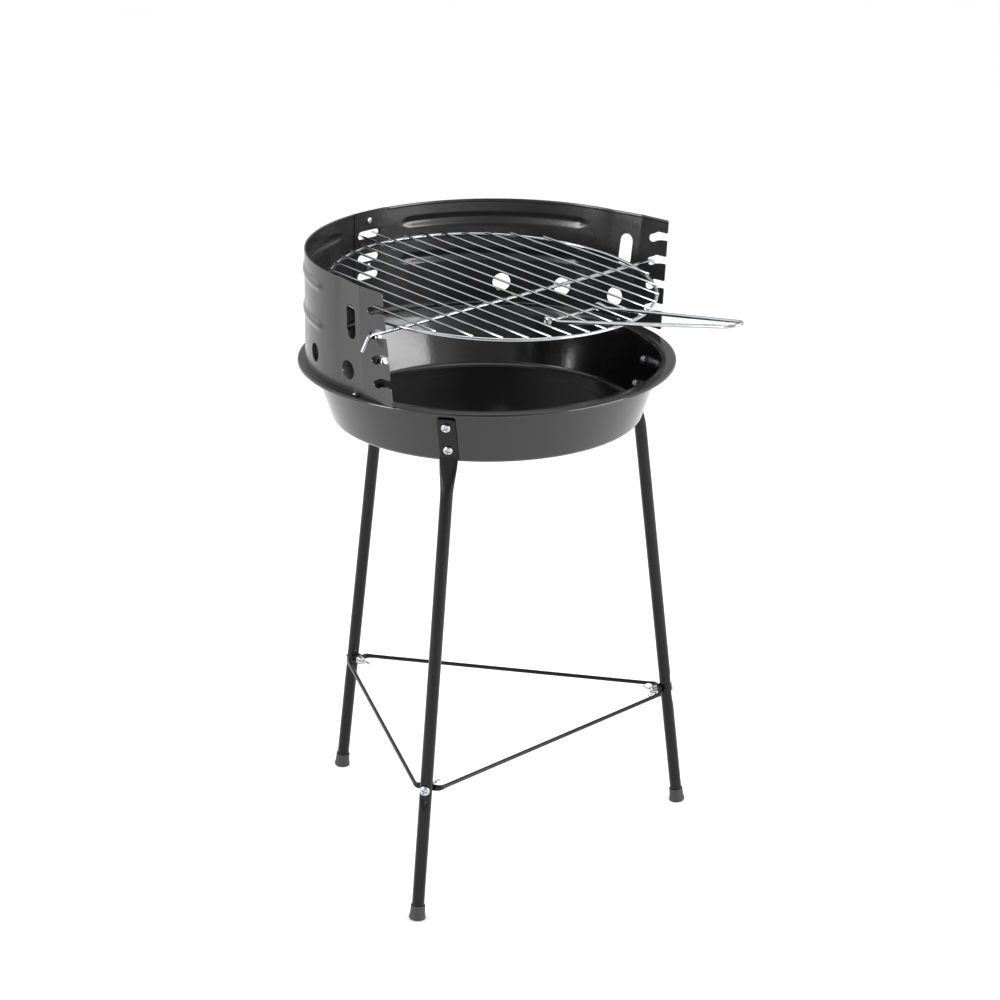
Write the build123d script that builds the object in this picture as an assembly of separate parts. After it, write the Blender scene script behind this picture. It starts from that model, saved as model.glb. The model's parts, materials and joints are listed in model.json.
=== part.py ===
from build123d import *
import os
from math import sin, cos, tan, radians, degrees, atan2, hypot, sqrt

# Free-standing round charcoal grill on three legs.
# +Z up, floor at z = 0.  The open side of the windshield and the grid handle face -Y.
# All geometry is drawn with the bowl axis at x = y = 0 and moved at the end so that
# the origin is the bottom centre of the whole grill's bounding box.
os.makedirs("parts", exist_ok=True)

# ---------------------------------------------------------------- dimensions (mm)
# bowl
RIM_R = 180.0            # outer radius of the rim flange
RIM_Z = 499.1            # top of the rim flange
FLANGE_IN_R = 166.2      # where the flange turns down into the wall
LIP = 2.6                # depth of the turned-down lip at the rim
BOWL_T = 0.8             # sheet thickness
WALL_ANGLE = 18.1        # wall slope from vertical, degrees
FLOOR_Z = 441.8          # underside of the bowl floor
FLOOR_CORNER_R = 6.0     # rounded corner between wall and floor
STEP_R, STEP_H = 118.0, 1.8   # pressed step in the floor
# windshield
WS_X = 4.0               # sideways seat of the grid
WS_TOP, WS_BOT = 605.0, 499.3
WS_T = 0.8
WS_ARC = 84.66           # half angle of the round part, degrees from the rear seam
# centre, radius, crease and free end of the round sheet at its foot and at its top edge;
# the sheet leans a little to +X
WS_CX = (3.9, 8.7)
WS_CY = (3.35, -2.55)
WS_R = (171.7, 178.0)
WS_KINK = ((174.2, -18.3), (183.9, -18.6))            # crease of the end strip, from the centre line
WS_END = ((175.0, -58.7), (185.3, -51.7))             # free end edge, from the centre line
SEAM_DX = -1.4           # rear screws and slots beside the centre line
SEAM_LAP = 20.9          # half overlap of the two halves at the rear
HEM = 3.0
NOTCH_Z = (585.0, 562.5, 539.0, 516.5)    # seats for the grid's cross bar
NOTCH_Y = (-38.2, -32.5)                  # at the sheet's foot and top
NOTCH_R = 3.7
SLOT_Z = (581.5, 558.0, 540.0)            # rear slots for the grid's prongs
SLOT_L, SLOT_H = 29.0, 8.0
VENT_D, VENT_Z, VENT_ANGLES = 18.0, 520.0, (3.0, 23.5, 44.5)
LONG_SLOT = (15.0, 33.0, -3.3, 567.6)     # width, height, y, z
SEAM_SCREW_Z = (595.0, 549.0)
RIB_DROP = (18.5, 56.0)                   # ribs below the top edge
RIB_H, RIB_D = 6.0, 2.8                   # half height and depth of a rib
FOOT_TAB_DEG = (27.0, 98.0)               # foot tabs, degrees from the rear seam
# legs
TUBE_R, TUBE_T = 6.0, 1.0
FOOT_R = 205.4                            # radius of the leg axis at the foot
TOP_R, TOP_Z = 152.7, 440.0               # radius of the leg axis near the bowl
LEGS = (("front_left", -146.8, -152.1), ("rear", 90.0, 94.3), ("front_right", -27.9, -27.8))
FOOT_Z = 0.6
CAP_H, CAP_R0, CAP_R1 = 14.0, 6.9, 7.9
TAB_W, TAB_T = 17.5, 2.2
TAB_LO, TAB_HI = 449.0, 488.0
LEG_SCREW_Z = (456.0, 480.0)
# brace
BRACE_Z = 129.5
ROD_R = 2.0
EYE_R, EYE_T, TONGUE = 5.6, 1.6, 12.0
# cooking grid
GRID_TILT = 0.062                         # rise per mm towards the rear
GRID_C = (WS_X, -2.8, 568.0)
RING_R, RING_WIRE = 155.0, 1.7
BAR_WIRE, BAR_N, BAR_PITCH = 1.1, 16, 18.5
CROSS_WIRE, CROSS_HALF, CROSS_Y = 1.8, 186.0, -35.0
PIVOT_WIRE, PIVOT_HALF, PIVOT_Y = 1.3, 37.5, -110.5
# handle
H_WIRE, H_EYE_X, H_END_X = 1.8, 33.0, 10.7
H_LEN, H_RISE = 203.5, 9.72               # length and angle above level
RUN = 0.08                                # radial running clearance
GAP = 0.05                                # gap between touching sheets

shapes = {}


def V(*a):
    return Vector(*a)


def rod(p, q, r):
    """Round bar from p to q."""
    p, q = V(*p), V(*q)
    d = q - p
    return Solid.make_cylinder(r, d.length, Plane(origin=p, z_dir=d.normalized()))


def add(name, *solids):
    out = []
    for s in solids:
        out += list(s.solids())
    shapes[name] = out


# ---------------------------------------------------------------- bowl
ta = tan(radians(WALL_ANGLE))
ca, sa = cos(radians(WALL_ANGLE)), sin(radians(WALL_ANGLE))


def wall_r(z):
    """Outer radius of the bowl wall at height z."""
    return FLANGE_IN_R - (RIM_Z - BOWL_T - z) * ta


def bowl_outer(off):
    """Profile of the sheet, moved inwards and up by off."""
    t = off
    cr = FLOOR_CORNER_R - t
    cz = FLOOR_Z + FLOOR_CORNER_R
    # centre of the corner so that its circle touches floor and wall
    cx = wall_r(cz) - FLOOR_CORNER_R / ca
    return cx, cz, cr


cx0, cz0, cr0 = bowl_outer(0)
_, _, cr1 = bowl_outer(BOWL_T)
p = [(cx0, cz0 - cr0), (cx0 + cr0 * ca, cz0 - cr0 * sa)]
pi_ = [(cx0, cz0 - cr1), (cx0 + cr1 * ca, cz0 - cr1 * sa)]
mid0 = (cx0 + cr0 * sin(radians((90 - WALL_ANGLE) / 2)), cz0 - cr0 * cos(radians((90 - WALL_ANGLE) / 2)))
mid1 = (cx0 + cr1 * sin(radians((90 - WALL_ANGLE) / 2)), cz0 - cr1 * cos(radians((90 - WALL_ANGLE) / 2)))
zt, zb = RIM_Z, RIM_Z - BOWL_T


def P2(a):
    return (a[0], 0, a[1])


with_step = [
    # underside, from the axis outwards
    Line(P2((0, FLOOR_Z + STEP_H)), P2((STEP_R - 3, FLOOR_Z + STEP_H))),
    Line(P2((STEP_R - 3, FLOOR_Z + STEP_H)), P2((STEP_R, FLOOR_Z))),
    Line(P2((STEP_R, FLOOR_Z)), P2(p[0])),
    ThreePointArc(P2(p[0]), P2(mid0), P2(p[1])),
    Line(P2(p[1]), P2((wall_r(zb), zb))),
    Line(P2((wall_r(zb), zb)), P2((RIM_R - BOWL_T, zb))),
    Line(P2((RIM_R - BOWL_T, zb)), P2((RIM_R - BOWL_T, zt - LIP))),
    Line(P2((RIM_R - BOWL_T, zt - LIP)), P2((RIM_R, zt - LIP))),
    Line(P2((RIM_R, zt - LIP)), P2((RIM_R, zt - 0.6))),
    ThreePointArc(P2((RIM_R, zt - 0.6)), P2((RIM_R - 0.18, zt - 0.18)), P2((RIM_R - 0.6, zt))),
    Line(P2((RIM_R - 0.6, zt)), P2((wall_r(zt) - BOWL_T / ca, zt))),
    Line(P2((wall_r(zt) - BOWL_T / ca, zt)), P2(pi_[1])),
    ThreePointArc(P2(pi_[1]), P2(mid1), P2(pi_[0])),
    Line(P2(pi_[0]), P2((STEP_R + 0.4, FLOOR_Z + BOWL_T))),
    Line(P2((STEP_R + 0.4, FLOOR_Z + BOWL_T)), P2((STEP_R - 2.6, FLOOR_Z + STEP_H + BOWL_T))),
    Line(P2((STEP_R - 2.6, FLOOR_Z + STEP_H + BOWL_T)), P2((0, FLOOR_Z + STEP_H + BOWL_T))),
    Line(P2((0, FLOOR_Z + STEP_H + BOWL_T)), P2((0, FLOOR_Z + STEP_H))),
]
bowl = revolve(make_face(Wire([c.edge() for c in with_step])), Axis.Z)

# ---------------------------------------------------------------- leg frames


def leg_frame(azt, azf):
    pt = V(TOP_R * cos(radians(azt)), TOP_R * sin(radians(azt)), TOP_Z)
    pf = V(FOOT_R * cos(radians(azf)), FOOT_R * sin(radians(azf)), FOOT_Z)
    a = (pt - pf).normalized()
    azm = radians(azt)
    rad = V(cos(azm), sin(azm), 0)
    o = (rad - a * rad.dot(a)).normalized()
    return pt, pf, a, o


def on_axis(pf, a, z):
    return pf + a * ((z - pf.Z) / a.Z)


screws, nuts, brace_screws = [], [], []
eye_pts = {}


def pan_screw(at, d, head_r, head_h, shank_r, length):
    """Cross-head pan screw: underside of the head at point at, shank along d."""
    hp = Plane(origin=at, z_dir=d * -1)
    head = Solid.make_cylinder(head_r, head_h, hp)
    e = head.edges().filter_by(GeomType.CIRCLE).sort_by(lambda k: (k.center() - at).length)[-1]
    head = fillet(e, head_h * 0.55)
    s = head + Solid.make_cylinder(shank_r, length, Plane(origin=at, z_dir=d))
    top = Plane(origin=at - d * head_h, z_dir=d)
    for k in (0, 90):
        s = s - (top.location * Rot(0, 0, k) * Box(head_r * 1.05, head_r * 0.24, head_h * 1.0))
    return s


def hex_nut(at, d, af, h, bore):
    """Hex nut with its bearing face at point at, growing along d."""
    pl = Plane(origin=at, z_dir=d)
    body = extrude(pl * RegularPolygon(af / 2, 6, major_radius=False), h)
    if body.center().sub(at).dot(d) < 0:
        body = extrude(pl * RegularPolygon(af / 2, 6, major_radius=False), -h)
    return body - Solid.make_cylinder(bore, h * 3, Plane(origin=at - d * h, z_dir=d))


for name, azt, azf in LEGS:
    pt, pf, a, o = leg_frame(azt, azf)
    er = V(cos(radians(azt)), sin(radians(azt)), 0)
    et = V(-sin(radians(azt)), cos(radians(azt)), 0)
    tube_top = on_axis(pf, a, 411.0)
    bottom = on_axis(pf, a, FOOT_Z + 3.0)
    tube = Solid.make_cylinder(TUBE_R, (tube_top - bottom).length, Plane(origin=bottom, z_dir=a))
    # flattened upper end: round tube pressed flat, then bent to lie on the bowl wall
    sect = []
    n = 4
    for k in range(n + 1):
        u = k / n
        s = u * u * (3 - 2 * u)
        z = 411.0 + u * (TAB_LO + 0.5 - 411.0)
        c = on_axis(pf, a, z)
        # end of the taper meets the tab
        tgt = er * (wall_r(TAB_LO) + (TAB_T / 2 + GAP) / ca) + V(0, 0, TAB_LO)
        c = c + (tgt - on_axis(pf, a, TAB_LO)) * (u * u)
        rx = TUBE_R + (TAB_W / 2 - TUBE_R) * s
        ry = TUBE_R + (TAB_T / 2 - TUBE_R) * s
        pl = Plane(origin=c, x_dir=et, z_dir=a)
        sect.append((pl * Ellipse(rx, ry)).face())
    taper = loft(sect)
    wdir = V(er.X * sa, er.Y * sa, ca)            # up along the wall
    wn = V(er.X * ca, er.Y * ca, -sa)             # outward normal of the wall
    lo = er * wall_r(TAB_LO) + V(0, 0, TAB_LO)
    tl = (TAB_HI - TAB_LO) / ca
    tabpl = Plane(origin=lo + wn * (GAP + TAB_T / 2), x_dir=et, z_dir=wn)
    # local y of this plane runs along the wall
    sgn = 1 if tabpl.y_dir.dot(wdir) > 0 else -1
    tab = extrude(tabpl * Pos(0, sgn * tl / 2, 0) * RectangleRounded(TAB_W, tl, 3.0), TAB_T / 2, both=True)
    tab = tab + extrude(tabpl * Pos(0, sgn * 3.0, 0) * Rectangle(TAB_W, 6.0), TAB_T / 2, both=True)
    leg = tube + taper + tab
    leg = leg - Solid.make_cylinder(TUBE_R - TUBE_T, (tube_top - bottom).length - 4, Plane(origin=bottom - a * 0.01, z_dir=a))
    # the bowl wall is a cone, so the flat tab keeps clear of it at its edges
    # screw holes through tab and bowl wall
    for z in LEG_SCREW_Z:
        w = er * wall_r(z) + V(0, 0, z)
        hole = Solid.make_cylinder(2.6, 30, Plane(origin=w - wn * 12, z_dir=wn))
        leg = leg - hole
        bowl = bowl - hole
        at = w + wn * (GAP * 2 + TAB_T)
        screws.append(pan_screw(at, wn * -1, 4.5, 2.6, 2.4, TAB_T + BOWL_T + 5.6))
        nuts.append(hex_nut(w - wn * (BOWL_T + 0.35), wn * -1, 8.0, 3.6, 2.4))
    # brace screw hole
    bc = on_axis(pf, a, BRACE_Z)
    leg = leg - Solid.make_cylinder(2.6, 30, Plane(origin=bc - o * 15, z_dir=o))
    add("leg_" + name, leg)
    # rubber cap, flared towards the floor, cut flat where it stands
    cap = Solid.make_cone(CAP_R1, CAP_R0, CAP_H, Plane(origin=pf, z_dir=a))
    cap = cap - Solid.make_cylinder(TUBE_R + 0.01, 30, Plane(origin=on_axis(pf, a, FOOT_Z + 3.0) - a * 0.02, z_dir=a))
    cap = cap - Pos(pf.X, pf.Y, -10) * Box(60, 60, 20)
    add("foot_cap_" + name, cap)
    # brace screw: head outside, shank through tube, two rod eyes and the wing nut
    s = pan_screw(bc + o * (TUBE_R + 0.05), o * -1, 4.75, 2.6, 2.4, 2 * TUBE_R + 0.1 + 2 * EYE_T + 9.0)
    brace_screws.append(s)
    t = V(0, 0, 1).cross(o).normalized()
    up = o.cross(t).normalized()
    eye_pts[name] = (bc, o, t, up, a)

add("leg_screws", *screws)
add("leg_nuts", *nuts)
add("brace_screws", *brace_screws)

# ---------------------------------------------------------------- brace rods and wing nuts
ends = {"front_left": [], "rear": [], "front_right": []}
pairs = (("front_left", "front_right"), ("front_right", "rear"), ("rear", "front_left"))
level = {}
for A, B in pairs:
    # first rod end at a leg lies against the tube, the second on top of it
    pts = []
    discs = []
    for nm, other, lev in ((A, B, 0), (B, A, 1)):
        bc, o, t, up, a = eye_pts[nm]
        oc = eye_pts[other][0]
        side = 1 if (oc - bc).dot(t) > 0 else -1
        c = bc - o * (TUBE_R + GAP + EYE_T / 2 + lev * (EYE_T + GAP))
        disc = Solid.make_cylinder(EYE_R, EYE_T, Plane(origin=c - o * (EYE_T / 2), z_dir=o))
        tp = c + t * (side * TONGUE)
        m = c + t * (side * TONGUE / 2)
        tongue = Plane(origin=m, x_dir=t, z_dir=o).location * Box(TONGUE, 6.0, EYE_T)
        bore = Solid.make_cylinder(2.6, 10, Plane(origin=c - o * 5, z_dir=o))
        discs.append((disc, tongue, bore))
        pts.append((tp, t * side, o))
    (a1, d1, o1), (a2, d2, o2) = pts
    shaft = rod(tuple(a1), tuple(a2), ROD_R)
    r = shaft + Pos(*tuple(a1)) * Sphere(ROD_R) + Pos(*tuple(a2)) * Sphere(ROD_R)
    for (disc, tongue, bore) in discs:
        r = r + disc + tongue
    for (disc, tongue, bore) in discs:
        r = r - bore
    add("brace_rod_%s_%s" % (A, B), r)

hinges = {}
for name, (bc, o, t, up, a) in eye_pts.items():
    d = o * -1
    base = bc + d * (TUBE_R + 2 * (EYE_T + GAP) + GAP + 0.35)
    hub = Solid.make_cone(4.6, 3.7, 6.4, Plane(origin=base, z_dir=d))
    wn_ = hub
    tilt = radians(25)
    for sgn in (1, -1):
        wdir_ = t * (sgn * cos(tilt)) + up * (sgn * sin(tilt))
        nrm = d.cross(wdir_).normalized()
        pl = Plane(origin=base + d * 5.6 + wdir_ * 5.6, x_dir=wdir_, z_dir=nrm)
        sy = 1 if pl.y_dir.dot(d) > 0 else -1
        wing = extrude(pl * Pos(0.6, sy * 1.6, 0) * Ellipse(3.7, 4.6), 0.8, both=True)
        wn_ = wn_ + wing
    wn_ = wn_ - Solid.make_cylinder(2.4 + RUN, 30, Plane(origin=base - d * 5, z_dir=d))
    add("wing_nut_" + name, wn_)
    hinges["wing_nut_" + name] = (base, d)

# ---------------------------------------------------------------- windshield halves


def lerp(a, b, t):
    return a + (b - a) * t


def ws_geo(z):
    """Centre, radius, crease and end of the sheet's inner line at height z."""
    u = (z - WS_BOT) / (WS_TOP - WS_BOT)
    k = tuple(lerp(WS_KINK[0][i], WS_KINK[1][i], u) for i in (0, 1))
    e = tuple(lerp(WS_END[0][i], WS_END[1][i], u) for i in (0, 1))
    return lerp(*WS_CX, u), lerp(*WS_CY, u), lerp(*WS_R, u), k, e


def ws_section(z, off, thick, side, lap, full=True):
    """Thin closed profile of one half at height z, off mm outside the base line."""
    cx, cy, R, k, e = ws_geo(z)
    R += off
    k, e = (k[0] + off, k[1]), (e[0] + off, e[1])
    f0 = -degrees(atan2(lap, 177.0))
    f1 = WS_ARC

    def arc(rr):
        q = lambda f: V(cx + side * rr * sin(radians(f)), cy + rr * cos(radians(f)), z)
        return q(f0), q((f0 + f1) / 2), q(f1)
    a0, am, a1 = arc(R)
    b0, bm, b1 = arc(R + thick)
    K0, E0 = V(cx + side * k[0], k[1], z), V(cx + side * e[0], e[1], z)
    K1, E1 = V(cx + side * (k[0] + thick), k[1], z), V(cx + side * (e[0] + thick), e[1], z)
    edges = [Edge.make_three_point_arc(a0, am, a1), Edge.make_line(a1, K0), Edge.make_line(K0, E0),
             Edge.make_line(E0, E1), Edge.make_line(E1, K1), Edge.make_line(K1, b1),
             Edge.make_three_point_arc(b1, bm, b0), Edge.make_line(b0, a0)]
    return Face(Wire(edges))


def rib_section(z, off, r0, r1, side, f0, f1):
    """Closed slice from r0 to r1 outside the inner line, between two angles from the seam."""
    cx, cy, R, k, e = ws_geo(z)

    def arc(rr):
        q = lambda f: V(cx + side * rr * sin(radians(f)), cy + rr * cos(radians(f)), z)
        return q(f0), q((f0 + f1) / 2), q(f1)
    a0, am, a1 = arc(R + off + r0)
    b0, bm, b1 = arc(R + off + r1)
    return Face(Wire([Edge.make_three_point_arc(a0, am, a1), Edge.make_line(a1, b1),
                      Edge.make_three_point_arc(b1, bm, b0), Edge.make_line(b0, a0)]))


def yz_cutter(face2d, x0, x1):
    """Extrude a face drawn in (y, z) from x0 to x1."""
    pl = Plane(origin=(x0, 0, 0), x_dir=(0, 1, 0), z_dir=(1, 0, 0))
    return extrude(pl * face2d, x1 - x0)


def notch_face(zc):
    y0 = lerp(*NOTCH_Y, (zc - WS_BOT) / (WS_TOP - WS_BOT))
    pts = [(y0, zc + NOTCH_R), (y0 - 6.5, zc + 7.4), (y0 - 36, zc + 7.4), (y0 - 36, zc + 0.3),
           (y0 - 16.4, zc + 0.3), (y0 - 6.4, zc - 1.5), (y0 - 3.2, zc - NOTCH_R + 0.3), (y0, zc - NOTCH_R - 0.05)]
    return Polygon(*pts, align=None) + Pos(y0, zc) * Circle(NOTCH_R)


def ws_point(deg, z, side, off):
    cx, cy, R, k, e = ws_geo(z)
    n = V(side * sin(radians(deg)), cos(radians(deg)), 0)
    return V(cx, cy, z) + n * (R + off), n


foot_screws, foot_nuts = [], []
halves = {}
for name, side, off in (("right", 1, 0.0), ("left", -1, WS_T + GAP)):
    sheet = loft([ws_section(WS_BOT, off, WS_T, side, SEAM_LAP), ws_section(WS_TOP, off, WS_T, side, SEAM_LAP)], ruled=True)
    # folded hem along the top edge, on the inside; it stops short of the rear overlap
    hem = loft([ws_section(WS_TOP - HEM, off - 0.7, 0.8, side, -SEAM_LAP - 1.5),
                ws_section(WS_TOP, off - 0.7, 0.8, side, -SEAM_LAP - 1.5)], ruled=True)
    sheet = sheet + hem
    # pressed ribs, standing outwards, hollow from the inside
    for drop in RIB_DROP:
        zr = WS_TOP - drop
        # the section starts just inside the sheet so that its faces cross the sheet's
        hs = [(q, RIB_D * (0.5 + 0.5 * cos(radians(180 * q / RIB_H))) - 0.12) for q in (-RIB_H, -0.6 * RIB_H, -0.25 * RIB_H, 0.25 * RIB_H, 0.6 * RIB_H, RIB_H)]
        out_ = loft([rib_section(zr + q, off, 0.2, d + WS_T, side, 10.0, 74.0) for q, d in hs], ruled=True)
        in_ = loft([rib_section(zr + q, off, -0.3, d, side, 10.3, 73.7) for q, d in hs], ruled=True)
        sheet = (sheet + out_) - in_
    # notches in the end edge
    for zc in NOTCH_Z:
        cut = yz_cutter(notch_face(zc), 150, 215)
        if side < 0:
            cut = mirror(cut, about=Plane.YZ)
        sheet = sheet - Pos(5.5, 0, 0) * cut
    # long vertical slot
    w, h, y, z = LONG_SLOT
    cut = yz_cutter(Pos(y, z) * SlotOverall(h, w, rotation=90), 150, 215)
    if side < 0:
        cut = mirror(cut, about=Plane.YZ)
    sheet = sheet - Pos(5.5, 0, 0) * cut
    # round vents
    for ang in VENT_ANGLES:
        n = V(side * cos(radians(ang)), sin(radians(ang)), 0)
        sheet = sheet - Solid.make_cylinder(VENT_D / 2, 60, Plane(origin=V(ws_geo(VENT_Z)[0], -5, VENT_Z) + n * 150, z_dir=n))
    # rear slots
    for z in SLOT_Z:
        pl = Plane(origin=(ws_geo(z)[0] + SEAM_DX, 150, z), x_dir=(1, 0, 0), z_dir=(0, 1, 0))
        sheet = sheet - extrude(pl * Pos(-1.5 if side < 0 else 0, 0) * SlotOverall(SLOT_L, SLOT_H), 50)
    for z in SEAM_SCREW_Z:
        sheet = sheet - Solid.make_cylinder(2.1, 60, Plane(origin=(ws_geo(z)[0] + SEAM_DX, 150, z), z_dir=(0, 1, 0)))
    # foot tabs bent outwards onto the rim flange
    for deg in FOOT_TAB_DEG:
        if deg < WS_ARC:
            q, nn = ws_point(deg, WS_BOT, side, off)
        else:
            q, nn = V(WS_CX[0] + side * (173.3 + off), -8.0, WS_BOT), V(side, 0, 0)
        # the right half sits close to the edge of the rim, so its tabs are bent inwards
        inward = side > 0
        reach = 8.0 if inward else (5.2 if deg < WS_ARC else 4.6)
        mid = q - nn * (reach / 2 - 0.3) if inward else q + nn * (reach / 2 + 0.2)
        tab = Plane(origin=mid + V(0, 0, 0.4), x_dir=nn, z_dir=V(0, 0, 1)).location * Box(reach, 8.0, 0.8)
        # keep the tab within the rim
        if not inward:
            tab = tab & (Pos(0, 0, WS_BOT) * Cylinder(RIM_R - 0.4, 20))
        hc = q - nn * 4.6 if inward else q + nn * 3.15
        rr = hypot(hc.X, hc.Y)
        if rr > RIM_R - 2.9:
            k = (RIM_R - 2.9) / rr
            hc = V(hc.X * k, hc.Y * k, hc.Z)
        bore = Solid.make_cylinder(1.15, 20, Plane(origin=V(hc.X, hc.Y, WS_BOT - 10), z_dir=(0, 0, 1)))
        sheet = (sheet + tab) - bore
        bowl = bowl - bore
        foot_screws.append(pan_screw(V(hc.X, hc.Y, WS_BOT + 0.8 + GAP), V(0, 0, -1), 1.9, 1.3, 1.0, 0.8 + BOWL_T + 0.3 + 2.6))
        foot_nuts.append(hex_nut(V(hc.X, hc.Y, RIM_Z - BOWL_T - 0.05), V(0, 0, -1), 3.6, 1.6, 1.0))
    halves[name] = sheet
    add("windshield_" + name, sheet)
add("windshield_foot_screws", *foot_screws)
add("windshield_foot_nuts", *foot_nuts)
add("bowl", bowl)

seam_screws, seam_nuts = [], []
for z in SEAM_SCREW_Z:
    cx, cy, R, k, e = ws_geo(z)
    yi = cy + R                                       # inner face of the inner half
    seam_screws.append(pan_screw(V(cx + SEAM_DX, yi - GAP - 0.1, z), V(0, 1, 0), 3.6, 2.0, 1.95, 2 * WS_T + 6.5))
    seam_nuts.append(hex_nut(V(cx + SEAM_DX, yi + 2 * WS_T + 2 * GAP + 0.05, z), V(0, 1, 0), 7.0, 2.8, 1.95))
add("windshield_seam_screws", *seam_screws)
add("windshield_seam_nuts", *seam_nuts)

# ---------------------------------------------------------------- cooking grid (drawn flat, then tilted)
gt = degrees(atan2(GRID_TILT, 1))
GL = Location(GRID_C, (gt, 0, 0))


def G(x, y, dz):
    return V(x - GRID_C[0], (y - GRID_C[1]), dz)


ring = Torus(RING_R, RING_WIRE)
add("grid_ring", GL * ring)
bars = []
bar_z = RING_WIRE + BAR_WIRE - 0.1
for k in range(BAR_N):
    x = (k - (BAR_N - 1) / 2) * BAR_PITCH
    half = sqrt(RING_R ** 2 - x * x) + 2.6
    y1 = half
    if k in (BAR_N // 2 - 1, BAR_N // 2):
        y1 = 179.2 - GRID_C[1]
    bars.append(GL * rod((x, -half, bar_z), (x, y1, bar_z), BAR_WIRE))
add("grid_bars", *bars)
cz = -(RING_WIRE + CROSS_WIRE - 0.1)
cyl_ = CROSS_Y - GRID_C[1]
cross = rod((-CROSS_HALF, cyl_, cz), (CROSS_HALF, cyl_, cz), CROSS_WIRE)
for s in (1, -1):
    cross = cross + Pos(s * CROSS_HALF, cyl_, cz) * Sphere(CROSS_WIRE)
    cross = cross + rod((s * CROSS_HALF, cyl_, cz), (s * (CROSS_HALF + 11), cyl_, cz - 12.5), CROSS_WIRE)
add("grid_cross_bar", GL * cross)
pz = bar_z - BAR_WIRE - PIVOT_WIRE + 0.1
py_ = PIVOT_Y - GRID_C[1]
pivot = rod((-PIVOT_HALF, py_, pz), (PIVOT_HALF, py_, pz), PIVOT_WIRE)
add("handle_pivot_wire", GL * pivot)

# ---------------------------------------------------------------- handle
pc = (GL * Pos(0, py_, pz)).position
eye_major = PIVOT_WIRE + RUN + H_WIRE
hd = V(0, -cos(radians(H_RISE)), sin(radians(H_RISE)))      # along the handle
hn = V(0, sin(radians(H_RISE)), cos(radians(H_RISE)))       # away from the grid


def H(x, s, n):
    return V(x, 0, 0) + hd * s + hn * n


L0 = H_LEN - H_END_X
# arms run straight from the eyes to the narrow rounded end
pts = [H(-H_EYE_X, eye_major, 0), H(-H_END_X, L0, 0), H(0, H_LEN, 0), H(H_END_X, L0, 0), H(H_EYE_X, eye_major, 0)]
bend = Wire([Edge.make_three_point_arc(pts[1], pts[2], pts[3])])
ARM = H_WIRE - 0.05       # arms a touch thinner than the eyes they grow from
u_end = sweep(Plane(origin=pts[1], z_dir=hd) * Circle(ARM), path=bend)
handle = u_end + rod(tuple(pts[0]), tuple(pts[1]), ARM) + rod(tuple(pts[4]), tuple(pts[3]), ARM)
for q in (pts[1], pts[3]):
    handle = handle + Pos(*tuple(q)) * Sphere(ARM)
for s in (-1, 1):
    eye = Solid.make_torus(eye_major, H_WIRE, Plane(origin=H(s * H_EYE_X, 0, 0), z_dir=(1, 0, 0)))
    handle = handle + eye
add("grid_handle", Pos(pc.X, pc.Y, pc.Z) * handle)

# ---------------------------------------------------------------- move to the bounding box's bottom centre and export
lo = [1e9] * 3
hi = [-1e9] * 3
for name, sol in shapes.items():
    for s in sol:
        bb = s.bounding_box()
        for i, (m, M) in enumerate(((bb.min.X, bb.max.X), (bb.min.Y, bb.max.Y), (bb.min.Z, bb.max.Z))):
            lo[i] = min(lo[i], m)
            hi[i] = max(hi[i], M)
SHIFT = Location((-(lo[0] + hi[0]) / 2, -(lo[1] + hi[1]) / 2, -lo[2]))
print("bbox before", lo, hi, "shift", SHIFT.position)
for name, sol in shapes.items():
    moved = [SHIFT * s for s in sol]
    obj = moved[0] if len(moved) == 1 else Compound(children=moved)
    obj.label = name
    export_step(obj, "parts/%s.step" % name)
    print(name, len(moved), "vol %.1f" % sum(s.volume for s in moved), all(s.is_valid if isinstance(s.is_valid, bool) else s.is_valid() for s in moved))
print("handle hinge", SHIFT * Pos(pc.X, pc.Y, pc.Z))
for k, (b, d) in hinges.items():
    print(k, (SHIFT * Pos(b.X, b.Y, b.Z)).position, d)
print("grid cross bar", (SHIFT * (GL * Pos(0, cyl_, cz))).position)
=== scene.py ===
import bpy, bmesh, json
from math import sin, cos, tan, radians, degrees, atan2, hypot, sqrt, pi, exp, asin
from mathutils import Vector, Matrix, noise
from mathutils.geometry import tessellate_polygon


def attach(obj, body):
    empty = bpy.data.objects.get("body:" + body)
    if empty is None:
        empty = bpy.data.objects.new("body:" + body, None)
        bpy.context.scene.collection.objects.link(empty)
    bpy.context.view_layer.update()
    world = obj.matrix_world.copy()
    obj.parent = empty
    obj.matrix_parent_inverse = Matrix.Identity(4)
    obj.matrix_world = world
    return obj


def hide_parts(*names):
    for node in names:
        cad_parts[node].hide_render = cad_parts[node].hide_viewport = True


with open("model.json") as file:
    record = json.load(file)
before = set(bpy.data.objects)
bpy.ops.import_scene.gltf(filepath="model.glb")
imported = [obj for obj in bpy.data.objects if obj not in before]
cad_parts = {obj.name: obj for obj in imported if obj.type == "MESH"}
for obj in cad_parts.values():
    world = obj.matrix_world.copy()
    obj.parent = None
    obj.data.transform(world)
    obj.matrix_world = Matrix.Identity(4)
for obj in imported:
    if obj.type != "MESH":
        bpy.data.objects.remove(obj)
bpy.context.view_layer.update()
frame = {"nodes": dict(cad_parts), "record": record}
nodes = frame["nodes"]
MM = 0.001
SX, SY = -4.0, 49.9901            # the frame's origin against the bowl axis, mm

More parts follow.
